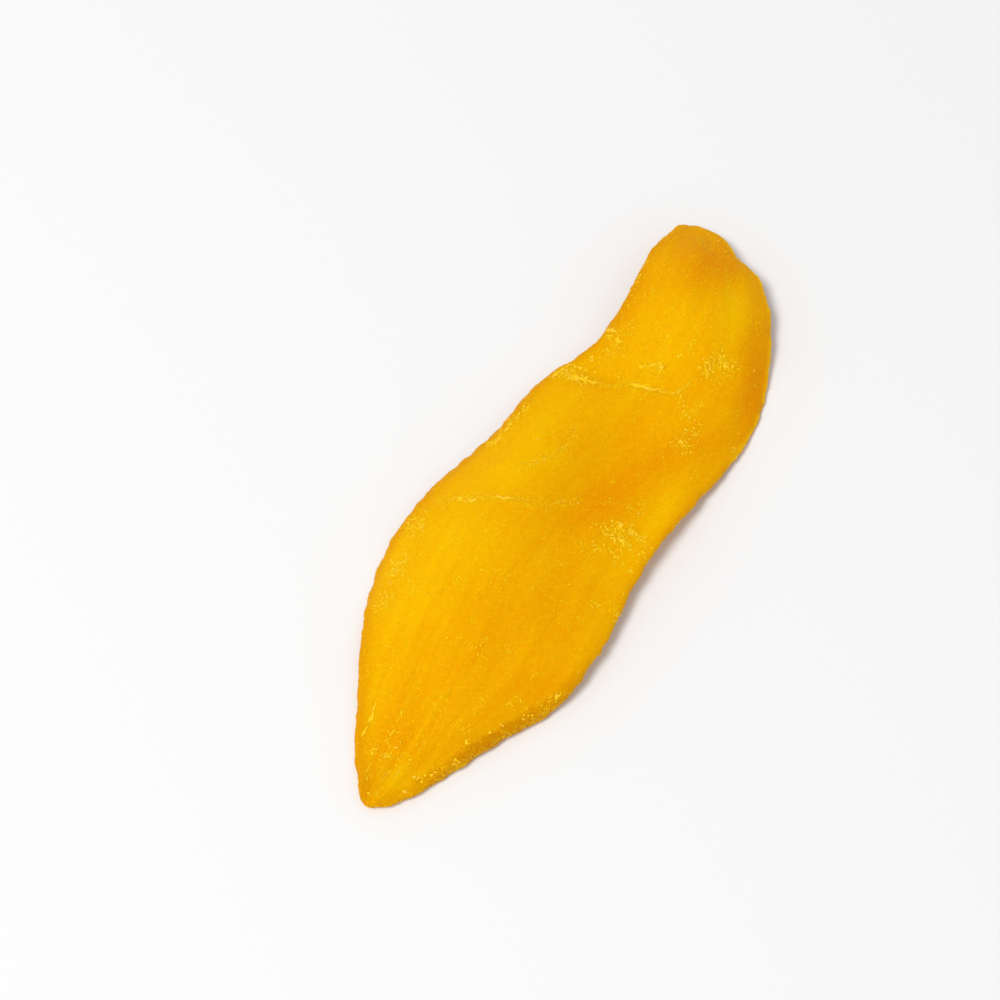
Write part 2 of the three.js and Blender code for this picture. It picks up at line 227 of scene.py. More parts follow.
# Zones of the top: centre, half length and half width, turn in degrees, and how far each dried to
# a deeper orange, above 0, or stayed a brighter yellow, below 0
ZONES = [
    ((2.8, 46.0), (9.0, 7.5), -20, 0.30),
    ((-2.6, 48.6), (9.0, 6.0), 0, 0.10),
    # Partly the flesh's own orange and partly painted shade along the shaded right shoulder
    ((16.8, 33.0), (11.0, 3.0), -68, 0.52),
    ((8.6, 11.2), (11.0, 4.2), 62, 0.26),
    ((14.8, 19.4), (9.0, 4.0), 50, 0.20),
    ((5.0, 14.0), (8.0, 2.4), 78, 0.10),
    ((5.6, 2.0), (8.0, 5.0), 60, 0.33),
    ((-5.6, 20.6), (5.0, 2.4), 5, 0.24),
    ((5.8, -9.0), (9.0, 2.6), 88, 0.10),
    ((3.6, -22.6), (9.0, 6.0), 70, 0.08),
    ((-8.0, -27.2), (4.0, 2.4), 70, 0.08),
    ((-4.6, -42.4), (6.5, 4.4), 80, 0.22),
    ((9.8, -26.8), (6.0, 3.4), 40, 0.22),
    ((1.8, 32.5), (9.0, 7.5), 30, -0.22),
    ((1.8, 20.6), (5.0, 3.4), 0, -0.12),
    ((15.8, 27.8), (4.0, 3.4), 0, 0.16),
    ((5.2, 47.4), (3.5, 3.0), 0, 0.14),
    ((-4.6, 34.6), (3.2, 8.0), 0, 0.16),
    ((-5.2, 6.0), (4.0, 3.0), 0, -0.16),
    ((4.8, 28.6), (3.0, 3.0), 0, -0.10),
    ((-17.6, -18.0), (2.6, 5.5), 0, -0.14),
    ((5.8, -37.2), (4.5, 2.2), 42, -0.15),
    ((1.4, 25.8), (5.0, 2.6), 0, -0.12),
    ((0.4, 16.6), (3.0, 5.0), 0, -0.10),
    ((1.4, 8.0), (2.6, 4.6), 0, 0.10),
    ((7.6, -17.0), (3.4, 4.0), 0, 0.08),
    ((10.6, -7.0), (4.0, 3.0), 0, -0.10),
    ((0.0, -47.8), (4.6, 3.8), 30, -0.38),
    ((9.6, 38.0), (7.0, 3.8), 100, -0.24),
    ((-8.4, 11.0), (12.0, 4.6), 75, -0.24),
    ((-7.8, 0.4), (7.0, 4.4), 60, -0.27),
    ((-10.0, -11.5), (9.0, 8.0), 60, -0.30),
    ((-12.0, -24.0), (10.0, 6.0), 90, -0.28),
    ((-11.2, -38.0), (7.0, 2.6), -60, -0.14),
    ((14.2, 6.6), (8.5, 2.6), 85, -0.22),
    ((11.6, -3.4), (5.0, 3.0), 0, -0.10),
    ((13.4, -14.0), (8.0, 3.0), 85, -0.12),
    ((8.8, 41.6), (2.8, 5.5), 15, -0.20),
    ((2.2, 42.4), (2.8, 4.0), 0, 0.10),
    ((-3.6, 43.4), (2.8, 4.0), 0, -0.10),
]

# Zones of the top darkened with painted shade, with the same columns
PAINTED_SHADE_ZONES = [
    ((-3.8, 31.0), (4.0, 10.0), 0, 0.15),
    ((5.8, -37.4), (4.5, 2.0), 42, 0.22),
    ((9.0, -32.4), (5.0, 2.2), 50, 0.10),
    ((-4.8, -50.0), (3.2, 5.0), 0, 0.30),
]


# Sums that all the shapes share

# Soft noise: how many random slopes it has, and what brings it to about -1 to 1
NOISE_CELLS = 256
NOISE_GAIN = 1.7

# How many places are measured at once, to save memory
BLOCK = 8000


def noise(spots, seed):
    """Soft random hills and hollows from about -1 to 1, one to each unit of length."""
    random = np.random.default_rng(seed)
    order = random.permutation(NOISE_CELLS)
    slopes = random.normal(size=(NOISE_CELLS, 3))
    slopes /= np.linalg.norm(slopes, axis=1)[:, None]
    corner = np.floor(spots).astype(int)
    within = spots - corner
    ease = within ** 3 * (within * (within * 6 - 15) + 10)
    total = np.zeros(len(spots))
    for step in np.ndindex(2, 2, 2):
        cell = (corner + step) % NOISE_CELLS
        row = order[(order[cell[:, 0]] + cell[:, 1]) % NOISE_CELLS]
        pick = order[(row + cell[:, 2]) % NOISE_CELLS]
        weight = np.prod(np.where(np.array(step) == 1, ease, 1 - ease), axis=1)
        total += weight * np.einsum("ij,ij->i", slopes[pick], within - step)
    return total * NOISE_GAIN


def fibres(flow, kind):
    """Lengthwise ridges of one kind."""
    return kind["height"] * noise(flow / [kind["across"], kind["along"], kind["deep"]], kind["seed"])


def grain(places, kind):
    """Round hills and hollows of one kind."""
    return kind["height"] * noise(places / kind["size"], kind["seed"])


def ramp(low, high, values):
    """0 up to low, 1 from high on, and a smooth rise between."""
    share = np.clip((values - low) / (high - low), 0, 1)
    return share * share * (3 - 2 * share)


def spot(places, centre, radii, turn):
    """A soft round spot on the plan: 1 at its centre and near 0 at its radii."""
    angle = math.radians(turn)
    away = places[:, :2] - centre
    along = away[:, 0] * math.cos(angle) + away[:, 1] * math.sin(angle)
    across = -away[:, 0] * math.sin(angle) + away[:, 1] * math.cos(angle)
    return np.exp(-2 * ((along / radii[0]) ** 2 + (across / radii[1]) ** 2))


def measured(line):
    """A line's points, the length of each stretch between them, and how far along it each point lies."""
    points = np.array(line, float)
    lengths = np.linalg.norm(np.diff(points, axis=0), axis=1)
    return points, lengths, np.concatenate([[0], np.cumsum(lengths)])


def from_line(places, line):
    """Distance on the plan from a line, and how far along it the nearest point lies, from 0 to 1."""
    points, lengths, starts = measured(line)
    nearest = np.full(len(places), np.inf)
    share = np.zeros(len(places))
    for start, end, length, before in zip(points[:-1], points[1:], lengths, starts):
        towards = (end - start) / length
        run = np.clip((places[:, :2] - start) @ towards, 0, length)
        distance = np.linalg.norm(places[:, :2] - (start + run[:, None] * towards), axis=1)
        closer = distance < nearest
        nearest[closer] = distance[closer]
        share[closer] = (before + run[closer]) / starts[-1]
    return nearest, share


def along_line(line, share):
    """The place and the heading at a share of a line's length."""
    points, lengths, starts = measured(line)
    at = share * starts[-1]
    part = min(np.searchsorted(starts, at, side="right") - 1, len(lengths) - 1)
    step = points[part + 1] - points[part]
    place = points[part] + step * (at - starts[part]) / lengths[part]
    return place, math.atan2(step[1], step[0])


def distance_to(places, targets):
    """Distance of each place from the nearest of the targets."""
    nearest = np.empty(len(places))
    for first in range(0, len(places), BLOCK):
        part = places[first:first + BLOCK, None]
        nearest[first:first + BLOCK] = np.sqrt(((part - targets) ** 2).sum(axis=2).min(axis=1))
    return nearest


# The shape of the flesh


def new_object(name, mesh):
    piece = bpy.data.objects.new(name, mesh)
    bpy.context.scene.collection.objects.link(piece)
    return piece


def bake(piece):
    """Applies the piece's modifiers to its mesh."""
    layer = bpy.context.evaluated_depsgraph_get()
    mesh = bpy.data.meshes.new_from_object(piece.evaluated_get(layer))
    piece.modifiers.clear()
    piece.data = mesh


def fine_copy(node):
    """The slice's own shape with its facets rounded off and its points evenly close."""
    shape = bmesh.new()
    shape.from_mesh(node.data)
    bmesh.ops.remove_doubles(shape, verts=shape.verts, dist=WELD_DISTANCE * MM)
    bmesh.ops.join_triangles(
        shape, faces=shape.faces, angle_face_threshold=JOIN_ANGLE, angle_shape_threshold=JOIN_ANGLE)
    mesh = bpy.data.meshes.new("flesh")
    shape.to_mesh(mesh)
    shape.free()
    piece = new_object("flesh", mesh)
    rounder = piece.modifiers.new("rounder", "SUBSURF")
    rounder.levels = 1
    even = piece.modifiers.new("even", "REMESH")
    even.mode = "VOXEL"
    even.voxel_size = POINT_SPACING * MM
    even.use_smooth_shade = True
    calm = piece.modifiers.new("calm", "SMOOTH")
    calm.factor = CALM_SHARE
    calm.iterations = CALM_ROUNDS
    bake(piece)
    return piece


def points_of(mesh):
    places = np.empty(len(mesh.vertices) * 3, np.float32)
    mesh.vertices.foreach_get("co", places)
    return places.reshape(-1, 3).astype(float) / MM


def normals_of(mesh):
    normals = np.empty(len(mesh.vertices) * 3, np.float32)
    mesh.vertex_normals.foreach_get("vector", normals)
    return normals.reshape(-1, 3).astype(float)


class Plan:
    """The slice as seen from above: where its edges lie along its length."""

    def __init__(self, places):
        along = places[:, 1]
        self.stations = np.linspace(along.min() + PLAN_MARGIN, along.max() - PLAN_MARGIN, PLAN_STATIONS)
        near = [places[np.abs(along - y) < PLAN_REACH, 0] for y in self.stations]
        self.left = np.array([x.min() for x in near])
        self.right = np.array([x.max() for x in near])
        self.middle = (self.left + self.right) / 2
        self.half = (self.right - self.left) / 2

    def across(self, places):
        """-1 at the left edge, 0 in the middle and 1 at the right edge."""
        middle = np.interp(places[:, 1], self.stations, self.middle)
        half = np.interp(places[:, 1], self.stations, self.half)
        return np.clip((places[:, 0] - middle) / half, -FARTHEST_ACROSS, FARTHEST_ACROSS)

    def flow(self, places):
        """Places measured along the fibres, which run lengthwise and draw together at both ends."""
        half = np.interp(places[:, 1], self.stations, self.half)
        width = half * (1 - CONVERGENCE) + BELLY_HALF_WIDTH * CONVERGENCE
        return np.stack([self.across(places) * width, places[:, 1], places[:, 2]], axis=1)

    def inward(self, places):
        """Distance on the plan from the nearest edge."""
        edge = np.concatenate([
            np.stack([self.left, self.stations], axis=1),
            np.stack([self.right, self.stations], axis=1),
        ])
        return distance_to(places[:, :2], edge)


def lobe_rim(places):
    """A smooth line along the rim of the stem end and the right shoulder, at its outermost places."""
    away = places[:, :2] - LOBE_CENTRE
    angle = np.degrees(np.arctan2(away[:, 1], away[:, 0]))
    reach = np.linalg.norm(away, axis=1) + HEIGHT_AS_REACH * places[:, 2]
    rim = []
    for turn in np.arange(*RIM_TURNS, RIM_STEP):
        near = np.flatnonzero((np.abs(angle - turn) < RIM_STEP) & (places[:, 1] > LOBE_START))
        rim.append(places[near[np.argmax(reach[near])]])
    rim = np.array(rim)
    for _ in range(RIM_CALM_ROUNDS):
        rim[1:-1] = (rim[:-2] + 2 * rim[1:-1] + rim[2:]) / 4
    return rim


def near_rim(places, rim):
    """1 on the rim, falling to 0 close beside it, and broken along its length."""
    closeness = np.exp(-(distance_to(places, rim) / RIM_WIDTH) ** 2)
    return closeness * ramp(*RIM_GAPS, grain(places, RIM_BREAK))


def crack_height(places, line, depth, width):
    """A crack's groove with a raised lip on both sides, fading out at its ends."""
    distance, share = from_line(places, line)
    groove = -depth * np.exp(-(distance / width) ** 2)
    lips = LIP_HEIGHT * depth * np.exp(-((distance - LIP_DISTANCE * width) / width) ** 2)
    return (groove + lips) * np.sin(np.pi * np.clip(share, CRACK_ENDS, 1 - CRACK_ENDS)) ** 0.5


def relief(places, normals, flow, rim):
    """How far each place of the flesh stands out along its normal."""
    top = ramp(*FACING, normals[:, 2])
    under = ramp(*FACING, -normals[:, 2])
    wall = 1 - top - under
    near_tip = 1 - ramp(*WRINKLED_TIP, places[:, 1])
    height = top * (fibres(flow, BROAD_FIBRE) + fibres(flow, FINE_FIBRE))
    height += grain(places, SOFT_LUMP)
    height += top * near_tip * fibres(flow, TIP_WRINKLE)
    height += under * fibres(flow, UNDERSIDE_FIBRE)
    height += (PITS_OFF_THE_WALL + (1 - PITS_OFF_THE_WALL) * wall) * grain(places, PIT)
    height += wall * grain(places * WALL_GRAIN_STRETCH, WALL_GRAIN)
    height += RIM_HEIGHT * near_rim(places, rim)
    level = np.zeros(len(places))
    wander = np.stack([grain(places, WANDER_ACROSS), grain(places, WANDER_ALONG), level], axis=1)
    for line, depth, width in CRACKS.values():
        height += top * crack_height(places + wander, line, depth, width)
    return height


def shape_flesh(piece, plan, rim):
    """Moves the points of the flesh by its relief, frays its edge, and gives their new places."""
    mesh = piece.data
    places, normals = points_of(mesh), normals_of(mesh)
    inward = plan.inward(places)
    places += normals * relief(places, normals, plan.flow(places), rim)[:, None]
    outward = normals * [1, 1, 0]
    fray = grain(places, RAGGED_EDGE) + grain(places, FRAYED_EDGE) + FRAY_OUTWARD
    places += outward * (fray * np.exp(-(inward / FRAY_REACH) ** 2))[:, None]
    places[:, 2] = np.maximum(places[:, 2], 0)
    mesh.vertices.foreach_set("co", (places * MM).astype(np.float32).ravel())
    mesh.update()
    return places


def set_values(mesh, name, values):
    """Keeps one number a point, for the materials to read."""
    layer = mesh.attributes.new(name, "FLOAT", "POINT")
    layer.data.foreach_set("value", values.astype(np.float32))


def set_vectors(mesh, name, vectors):
    """Keeps three numbers a point, for the materials to read."""
    layer = mesh.attributes.new(name, "FLOAT_VECTOR", "POINT")
    layer.data.foreach_set("vector", vectors.astype(np.float32).ravel())


# The materials


class Nodes:
    """Adds and joins the nodes of one material."""

    def __init__(self, name):
        self.material = bpy.data.materials.new(name)
        self.material.use_nodes = True
        self.tree = self.material.node_tree
        self.shader = self.tree.nodes["Principled BSDF"]

    def add(self, kind, inputs=None, **settings):
        node = self.tree.nodes.new(kind)
        for name, value in settings.items():
            setattr(node, name, value)
        for name, value in (inputs or {}).items():
            self.feed(node.inputs[name], value)
        return node

    def feed(self, socket, value):
        if isinstance(value, bpy.types.NodeSocket):
            self.tree.links.new(value, socket)
        else:
            socket.default_value = value

    def finish(self, name, value):
        """Sets one of the shader's own sockets, or joins a node to it."""
        self.feed(self.shader.inputs[name], value)

    def place(self):
        return self.add("ShaderNodeTexCoord").outputs["Object"]

    def value(self, name):
        return self.add("ShaderNodeAttribute", attribute_name=name).outputs["Fac"]

    def math(self, operation, *numbers, clamp=False):
        node = self.add("ShaderNodeMath", operation=operation, use_clamp=clamp)
        for socket, number in zip(node.inputs, numbers):
            self.feed(socket, number)
        return node.outputs[0]

    def scaled(self, value, factor, start, clamp=False):
        """A value times a factor, plus a start."""
        return self.math("MULTIPLY_ADD", value, factor, start, clamp=clamp)

    def swing(self, value, amount):
        """A value from 0 to 1 turned into one that swings around 0."""
        return self.scaled(value, amount, -amount / 2)

    def noise(self, vector, scale, detail=2.0):
        node = self.add("ShaderNodeTexNoise", {"Vector": vector, "Scale": scale, "Detail": detail})
        return node.outputs["Fac"]

    def streaks(self, fibre, across, along):
        """Long soft streaks, from their width and length in millimetres."""
        waves = (1 / across, 1 / along, STREAK_DEPTH)
        stretch = self.add("ShaderNodeVectorMath", {0: fibre, 1: waves}, operation="MULTIPLY")
        return self.noise(stretch.outputs[0], 1.0)

    def strokes(self, vector, scale, sharpness):
        """Thin winding lines broken into short bits, from 0 to 1."""
        away = self.math("ABSOLUTE", self.math("SUBTRACT", self.noise(vector, scale), 0.5))
        line = self.scaled(away, -sharpness, 1.0, clamp=True)
        breaks = self.noise(vector, scale * STROKE_BREAK_SCALE, 1.0)
        return self.math("MULTIPLY", line, self.scaled(breaks, *STROKE_BREAKS, clamp=True))

    def specks(self, vector, scale, reach, share):
        """Small round dots in a share of the cells, from 0 to 1."""
        cells = self.add("ShaderNodeTexVoronoi", {"Vector": vector, "Scale": scale}, feature="F1")
        within = self.math("SUBTRACT", reach, cells.outputs["Distance"])
        dot = self.math("MULTIPLY", within, SPECK_SHARPNESS, clamp=True)
        chosen = self.math("LESS_THAN", cells.outputs["Color"], share)
        return self.math("MULTIPLY", dot, chosen)

    def colours(self, factor, stops):
        """A smooth run of colours, from stops of (place, colour)."""
        node = self.add("ShaderNodeValToRGB", {"Fac": factor})
        ramp_of_colours = node.color_ramp
        while len(ramp_of_colours.elements) < len(stops):
            ramp_of_colours.elements.new(0.5)
        for element, (place, colour) in zip(ramp_of_colours.elements, stops):
            element.position = place
            element.color = colour
        return node.outputs["Color"]

    def dimmed(self, colour, share):
        node = self.add("ShaderNodeVectorMath", {0: colour, "Scale": share}, operation="SCALE")
        return node.outputs[0]

    def mix(self, factor, first, second):
        node = self.add("ShaderNodeMix", {"Factor": factor, "A": first, "B": second}, data_type="RGBA")
        return node.outputs["Result"]

    def bump(self, height, strength, distance):
        node = self.add("ShaderNodeBump", {"Height": height, "Strength": strength, "Distance": distance * MM})
        self.finish("Normal", node.outputs["Normal"])


def rgb(red, green, blue):
    """A colour from its red, green and blue on a screen, 0 to 255."""
    def linear(part):
        part /= 255
        return part / 12.92 if part <= 0.04045 else ((part + 0.055) / 1.055) ** 2.4
    return (linear(red), linear(green), linear(blue), 1.0)


BRIGHT_YELLOW = rgb(246, 195, 3)
MANGO_YELLOW = rgb(241, 180, 2)
MANGO_ORANGE = rgb(235, 161, 1)
DEEP_ORANGE = rgb(233, 147, 1)
# The ochre that painted shade darkens the edges and walls towards
SHADE_OCHRE = rgb(203, 130, 3)
SUGAR_YELLOW = rgb(255, 201, 10)
SUGAR_PALE = rgb(255, 212, 46)
SUGAR_PINK = rgb(255, 197, 70)
FLESH_COLOURS = [(0.0, BRIGHT_YELLOW), (0.35, MANGO_YELLOW), (0.7, MANGO_ORANGE), (1.0, DEEP_ORANGE)]
PALE_COLOURS = [(0.0, SUGAR_YELLOW), (0.8, SUGAR_PALE), (1.0, SUGAR_PINK)]

# Streaks of the flesh, and their waves to a millimetre through it
BROAD_STREAK = dict(across=1.5, along=14.0)
NARROW_STREAK = dict(across=0.45, along=4.0)
STREAK_DEPTH = 0.3

# Other patterns of the flesh, by their waves to a metre
MOTTLE = dict(scale=1500.0, detail=3.0)
PORES = dict(scale=4200.0, detail=3.0)
SATIN_CHANGE = dict(scale=700.0, detail=4.0)
LONG_STROKES = dict(scale=900.0, sharpness=24.0)
SHORT_STROKES = dict(scale=1900.0, sharpness=14.0)
SPECK_SCALE = 2600.0

# How sharp the specks are, and how much finer the breaks in the strokes are than the strokes
SPECK_SHARPNESS = 9.0
STROKE_BREAK_SCALE = 2.3

# How much each pattern warms, shades and raises the flesh
BROAD_WARMTH = 0.32
NARROW_WARMTH = 0.2
MOTTLE_WARMTH = 0.4
NARROW_SHADE = 0.08
PORE_SHADE = 0.16
DARKEST_SHADE = 0.88
MARK_PALENESS = 0.8
MARK_RISE = 0.6
PORE_RISE = 0.7

# A factor and a start for each: breaks in the strokes, marks by the dust, and roughness
STROKE_BREAKS = (9.0, -4.3)
STROKES_BY_DUST = (2.2, 0.1)
SPECK_REACH_BY_DUST = (0.2, 0.3)
SPECK_SHARE_BY_DUST = (1.0, 0.05)
FLESH_ROUGHNESS = (0.3, 0.38)
PALE_ROUGHNESS = (0.3, 0.5)

# The shine, the glow and the bumps
SHINE = 0.06
FLESH_SHINE_COLOUR = (1.0, 0.75, 0.05, 1.0)
PALE_SHINE_COLOUR = (1.0, 0.85, 0.2, 1.0)
GLOW = 0.35
GLOW_COLOUR = (1.0, 0.5, 0.1)
GLOW_DEPTH = 1.4
FLESH_BUMP = dict(strength=0.8, distance=0.04)
PALE_BUMP = dict(strength=0.4, distance=0.01)

# Patterns of the threads and the sugar, by their waves to a metre
PALE_CHANGE_SCALE = 2500.0
PALE_CHANGE_SWING = 0.4
PALE_MATT_SCALE = 4000.0
PALE_GRAIN_SCALE = 9000.0


def flesh_marks(nodes, place):
    """Pale strokes and specks, more of them where sugar lies, and the pale skin of the rim."""
    dust = nodes.value("dust")
    strokes = nodes.math("ADD", nodes.strokes(place, **LONG_STROKES), nodes.strokes(place, **SHORT_STROKES))
    strokes = nodes.math("MULTIPLY", strokes, nodes.scaled(dust, *STROKES_BY_DUST), clamp=True)
    reach = nodes.scaled(dust, *SPECK_REACH_BY_DUST)
    share = nodes.scaled(dust, *SPECK_SHARE_BY_DUST)
    specks = nodes.specks(place, SPECK_SCALE, reach, share)
    return nodes.math("MAXIMUM", nodes.math("MAXIMUM", strokes, specks), nodes.value("rim"))


def flesh_colour(nodes, place, fibre, narrow, pores):
    """Yellow to orange along the fibres, darkened towards ochre by painted shade at the edges and walls, and
    darker with painted shade in the hollows of the streaks and pores.
    """
    broad = nodes.streaks(fibre, **BROAD_STREAK)
    mottle = nodes.noise(place, **MOTTLE)
    warm = nodes.math("ADD", nodes.value("warmth"), nodes.swing(broad, BROAD_WARMTH))
    warm = nodes.math("ADD", warm, nodes.swing(narrow, NARROW_WARMTH))
    warm = nodes.math("ADD", warm, nodes.swing(mottle, MOTTLE_WARMTH), clamp=True)
    # Painted shade: the dried value darkens the edges and walls towards ochre
    colour = nodes.mix(nodes.value("dried"), nodes.colours(warm, FLESH_COLOURS), SHADE_OCHRE)
    shade = nodes.scaled(narrow, NARROW_SHADE, DARKEST_SHADE)
    return nodes.dimmed(colour, nodes.scaled(pores, PORE_SHADE, shade))


def flesh_material():
    """Satin golden flesh, streaked along its fibres, with fine pores, pale strokes and specks."""
    nodes = Nodes("mango_flesh")
    place = nodes.place()
    fibre = nodes.add("ShaderNodeAttribute", attribute_name="fibre").outputs["Vector"]
    narrow = nodes.streaks(fibre, **NARROW_STREAK)
    pores = nodes.noise(place, **PORES)
    marks = flesh_marks(nodes, place)
    colour = flesh_colour(nodes, place, fibre, narrow, pores)
    paleness = nodes.math("MULTIPLY", marks, MARK_PALENESS)
    nodes.finish("Base Color", nodes.mix(paleness, colour, SUGAR_YELLOW))
    satin = nodes.noise(place, **SATIN_CHANGE)
    nodes.finish("Roughness", nodes.scaled(satin, *FLESH_ROUGHNESS))
    skin = nodes.scaled(pores, PORE_RISE, narrow)
    nodes.bump(nodes.scaled(marks, MARK_RISE, skin), **FLESH_BUMP)
    nodes.finish("Specular IOR Level", SHINE)
    nodes.finish("Specular Tint", FLESH_SHINE_COLOUR)
    nodes.finish("Subsurface Weight", GLOW)
    nodes.finish("Subsurface Radius", GLOW_COLOUR)
    nodes.finish("Subsurface Scale", GLOW_DEPTH * MM)
    return nodes.material


def pale_material(name):
    """Dried threads and sugar: pale yellow, each a little different, matt and faintly rough."""
    nodes = Nodes(name)
    place = nodes.place()
    change = nodes.swing(nodes.noise(place, PALE_CHANGE_SCALE), PALE_CHANGE_SWING)
    tint = nodes.math("ADD", nodes.value("paleness"), change, clamp=True)
    nodes.finish("Base Color", nodes.colours(tint, PALE_COLOURS))
    matt = nodes.noise(place, PALE_MATT_SCALE)
    nodes.finish("Roughness", nodes.scaled(matt, *PALE_ROUGHNESS))
    nodes.bump(nodes.noise(place, PALE_GRAIN_SCALE), **PALE_BUMP)
    nodes.finish("Specular IOR Level", SHINE)
    nodes.finish("Specular Tint", PALE_SHINE_COLOUR)
    return nodes.material


def finish_piece(piece, material):
    piece.data.materials.clear()
    piece.data.materials.append(material)
    piece.data.shade_smooth()
    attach(piece, "root")


# Where the flesh is orange, darkened by painted shade, and dusty

# How orange it is everywhere and in streaks, and how much painted shade deepens the orange on its walls and
# by its edge
EVEN_WARMTH = 0.54
WALL_SHADE_WARMTH = 0.2
EDGE_SHADE_WARMTH = 0.06
WARM_STREAK = dict(across=4.5, along=16.0, deep=9.0, height=0.07, seed=51)
WARM_TIP_STREAK = dict(across=1.3, along=9.0, deep=9.0, height=0.16, seed=52)

# Where those begin and end, by slope, distance from the edge and place along the slice
SHADED_WALL_FACING = (0.1, 0.7)
ZONE_FACING = (-0.2, 0.3)
SHADED_EDGE_REACH = (0.4, 2.2)
STREAKED_TIP = (-44, -28)

# How much painted shade darkens the left edge, the low right side and the right wall, and how far inwards
LEFT_PAINTED_SHADE = 0.42
LEFT_REACH = 1.2
LEFT_REACH_LOW = 0.9
RIGHT_PAINTED_SHADE = 0.2
RIGHT_REACH = 4.6
WALL_PAINTED_SHADE = 0.55
WALL_REACH = (2.0, 1.1)
COARSE_WALL_EDGE = dict(size=1.6, height=0.35, seed=53)
FINE_WALL_EDGE = dict(size=0.6, height=0.15, seed=54)
WALL_MOTTLE = dict(size=1.0, height=0.3, seed=55)

# Where those begin and are full, along and across the slice
LOW_PART = (-24.0, -36.0)
WALL_UPPER_END = (-16.0, -28.0)
WALL_LOWER_END = (-53.0, -43.0)
LEFT_SIDE = (0.2, -0.4)
RIGHT_SIDE = (0.1, 0.5)
WALL_SIDE = (0.2, 0.6)

# How thickly sugar lies: everywhere, in clumps, on the walls, at the tip and beside cracks
EVEN_DUST = 0.05
CLUMP_DUST = 0.2
TIP_DUST = 0.03
WALL_DUST = 0.26
CRACK_DUST = 0.35
CRACK_DUST_REACH = 0.7
PATCH_DUST = 0.35
PATCH_CLUMP_DUST = 0.9
BIG_CLUMP = dict(size=3.0, height=1.0, seed=61)
SMALL_CLUMP = dict(size=1.1, height=1.0, seed=62)
BIG_CLUMP_RISE = (-0.2, 0.9)
SMALL_CLUMP_RISE = (0.0, 0.9)
DUSTY_TIP = (-48, -32)
DUSTY_WALL_FACING = (0.2, 0.75)


def zone_warmth(places, normals, flow, inward):
    """How orange the flesh is at each place, from 0 to 1."""
    facing = normals[:, 2]
    warmth = EVEN_WARMTH + fibres(flow, WARM_STREAK)
    # Painted shade: the walls and the edge take the deeper orange of shaded flesh
    warmth += WALL_SHADE_WARMTH * (1 - ramp(*SHADED_WALL_FACING, facing))
    warmth += EDGE_SHADE_WARMTH * (1 - ramp(*SHADED_EDGE_REACH, inward))
    warmth += (1 - ramp(*STREAKED_TIP, places[:, 1])) * fibres(flow, WARM_TIP_STREAK)
    on_top = ramp(*ZONE_FACING, facing)
    for centre, radii, turn, change in ZONES:
        warmth += change * spot(places, centre, radii, turn) * on_top
    return np.clip(warmth, 0, 1)


def painted_edge_shade(places, across, inward):
    """How much painted shade darkens each place towards ochre, from 0 to 1, thinly at the left and most on
    the right wall.
    """
    low = ramp(*LOW_PART, places[:, 1])
    left_reach = LEFT_REACH + LEFT_REACH_LOW * low
    # Painted shade along the left edge, inside the low right side and on the right wall
    left = LEFT_PAINTED_SHADE * ramp(*LEFT_SIDE, across) * np.exp(-(inward / left_reach) ** 2)
    right = RIGHT_PAINTED_SHADE * low * ramp(*RIGHT_SIDE, across) * np.exp(-(inward / RIGHT_REACH) ** 2)
    rough_inward = inward + grain(places, COARSE_WALL_EDGE) + grain(places, FINE_WALL_EDGE)
    stretch = ramp(*WALL_UPPER_END, places[:, 1]) * ramp(*WALL_LOWER_END, places[:, 1])
    wall = stretch * ramp(*WALL_SIDE, across) * ramp(*WALL_REACH, rough_inward)
    # Painted shade in a few listed zones
    zone_shade = sum(change * spot(places, centre, radii, turn) for centre, radii, turn, change in PAINTED_SHADE_ZONES)
    return np.clip(left + right + zone_shade + WALL_PAINTED_SHADE * wall * (1 + grain(places, WALL_MOTTLE)), 0, 1)


def dustiness(places, normals):
    """How thickly sugar lies at each place, from 0 to 1."""
    big = ramp(*BIG_CLUMP_RISE, grain(places, BIG_CLUMP))
    small = ramp(*SMALL_CLUMP_RISE, grain(places, SMALL_CLUMP))
    clumps = (big + small) / 2
    dust = EVEN_DUST + CLUMP_DUST * clumps
    dust += TIP_DUST * (1 - ramp(*DUSTY_TIP, places[:, 1]))
    dust += WALL_DUST * (1 - ramp(*DUSTY_WALL_FACING, np.abs(normals[:, 2])))
    on_top = normals[:, 2] > 0
    for centre, radii, turn, _, sugar in PATCHES:
        share = spot(places, centre, radii, turn)
        dust += sugar * share * (PATCH_DUST + PATCH_CLUMP_DUST * clumps) * on_top
    for line, _, _ in CRACKS.values():
        distance, _ = from_line(places, line)
        dust += CRACK_DUST * np.exp(-(distance / CRACK_DUST_REACH) ** 2) * on_top
    return np.clip(dust, 0, 1)


def make_flesh():
    """The flesh, how thickly sugar lies on each of its points, and the line of its rim."""
    piece = fine_copy(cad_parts["mango_slice"])
    plain = points_of(piece.data)
    plan, rim = Plan(plain), lobe_rim(plain)
    places = shape_flesh(piece, plan, rim)
    normals = normals_of(piece.data)
    inward, flow = plan.inward(places), plan.flow(places)
    dust = dustiness(places, normals)
    set_values(piece.data, "warmth", zone_warmth(places, normals, flow, inward))
    # The dried value is painted shade on the edges and walls, from 0 to 1
    set_values(piece.data, "dried", painted_edge_shade(places, plan.across(places), inward))
    set_values(piece.data, "dust", dust)
    set_values(piece.data, "rim", near_rim(places, rim))
    set_vectors(piece.data, "fibre", flow)
    finish_piece(piece, flesh_material())
    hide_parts("mango_slice")
    return piece, dust, rim


# The threads and the dried skin

# A thread's form: its steps, least points, sides, taper and random change of thickness
THREAD_STEP = 0.13
THREAD_RADIUS = 0.08
THREAD_POINTS = 4
THREAD_SIDES = 5
THREAD_FLATNESS = 0.35
THREAD_END = 0.12
THREAD_TAPER = 0.6
THREAD_CHANGE = 0.3

